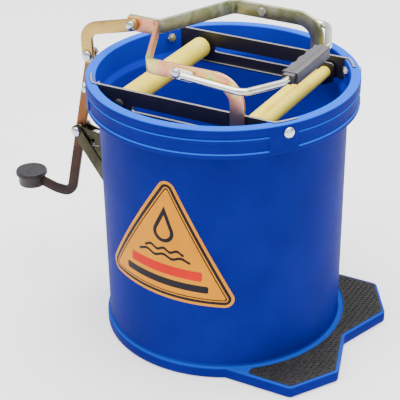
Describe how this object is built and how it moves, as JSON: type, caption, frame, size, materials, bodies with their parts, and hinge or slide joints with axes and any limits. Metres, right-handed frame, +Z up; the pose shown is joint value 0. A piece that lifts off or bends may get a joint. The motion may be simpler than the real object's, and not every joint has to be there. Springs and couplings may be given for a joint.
{
  "type": "mop bucket with pedal wringer",
  "caption": "Round plastic mop bucket with a foot-pedal roller wringer, foot plate and swinging carry handle.",
  "frame": {"origin": "bucket's axis at its flat underside, which rests on the floor", "axes": "+X towards the foot plate, -X towards the pedal, +Y across the rollers, +Z up"},
  "size_m": [0.4812, 0.31, 0.3657],
  "materials": {
    "blue_plastic": "moulded polypropylene, semi-gloss",
    "black_rubber": "moulded, studded or ribbed on top",
    "label_film": "printed self-adhesive film",
    "black_paint": "black paint, worn grey along the top edges",
    "yellow_zinc": "yellow passivated zinc plate on steel",
    "brown_zinc": "zinc plate stained brown by wear and wet",
    "bright_zinc": "bright zinc plate",
    "cream_plastic": "satin",
    "charcoal_plastic": "satin"
  },
  "bodies": {
    "bucket_body": {"bracket_screw_lower_far": "bright_zinc", "bracket_screw_lower_near": "bright_zinc", "bracket_screw_upper_far": "bright_zinc", "bracket_screw_upper_near": "bright_zinc", "bucket": "blue_plastic", "caution_label": "label_film", "fixed_roller_axle": "black_paint", "fixed_roller_nut": "black_paint", "foot_plate_tread": "black_rubber", "pivot_bolt": "bright_zinc", "pivot_bracket": "yellow_zinc", "pivot_nut": "bright_zinc", "pivot_washer_far": "bright_zinc", "pivot_washer_near": "bright_zinc", "return_spring": "bright_zinc", "rim_bolt_far_left": "bright_zinc", "rim_bolt_far_right": "bright_zinc", "rim_bolt_near_left": "bright_zinc", "rim_bolt_near_right": "bright_zinc", "rim_nut_far_left": "bright_zinc", "rim_nut_far_right": "bright_zinc", "rim_nut_near_left": "bright_zinc", "rim_nut_near_right": "bright_zinc", "side_rail_far": "black_paint", "side_rail_near": "black_paint", "spring_pin": "bright_zinc", "stay_far": "yellow_zinc", "stay_near": "yellow_zinc"},
    "fixed_roller": {"fixed_roller": "cream_plastic"},
    "lever": {"lever": "brown_zinc", "pedal_pad": "black_rubber", "link_pin": "bright_zinc", "link_washer": "bright_zinc", "link_nut": "bright_zinc"},
    "carriage": {"pull_arm": "yellow_zinc", "yoke_strap_near": "yellow_zinc", "yoke_strap_far": "yellow_zinc", "yoke_bolt": "bright_zinc", "yoke_nut": "bright_zinc", "end_plate_near": "black_paint", "end_plate_far": "black_paint", "press_axle_inner": "bright_zinc", "press_axle_nut": "bright_zinc", "press_axle_outer": "bright_zinc", "handle_rivet_near": "bright_zinc", "handle_rivet_far": "bright_zinc"},
    "press_roller_inner": {"press_roller_inner": "cream_plastic"},
    "press_roller_outer": {"press_roller_outer": "cream_plastic"},
    "carry_handle": {"carry_handle": "bright_zinc", "handle_grip": "charcoal_plastic"}
  },
  "joints": [
    {"name": "lever_hinge", "type": "hinge", "parent": "bucket_body", "child": "lever", "pos_m": [-0.1975, 0, 0.2055], "axis": [0, -1, 0], "range_deg": [0, 30], "stiffness_Nm_per_rad": 4, "springref_deg": -20.05, "deforming": ["return_spring"]},
    {"name": "carriage_slide", "type": "slide", "parent": "bucket_body", "child": "carriage", "axis": [-1, 0, 0], "range_m": [0, 0.0547]},
    {"name": "carry_handle_hinge", "type": "hinge", "parent": "carriage", "child": "carry_handle", "pos_m": [0, 0, 0.3572], "axis": [0, -1, 0], "range_deg": [0, 150]},
    {"name": "fixed_roller_spin", "type": "hinge", "parent": "bucket_body", "child": "fixed_roller", "pos_m": [-0.077, 0, 0.3025], "axis": [0, 1, 0], "continuous": true},
    {"name": "press_roller_inner_spin", "type": "hinge", "parent": "carriage", "child": "press_roller_inner", "pos_m": [0.0706, 0, 0.3], "axis": [0, 1, 0], "continuous": true},
    {"name": "press_roller_outer_spin", "type": "hinge", "parent": "carriage", "child": "press_roller_outer", "pos_m": [0.0859, 0, 0.302], "axis": [0, 1, 0], "continuous": true}
  ],
  "couplings": [
    {"joint": "carriage_slide", "follows": "lever_hinge", "m_per_rad": 0.1039}
  ]
}
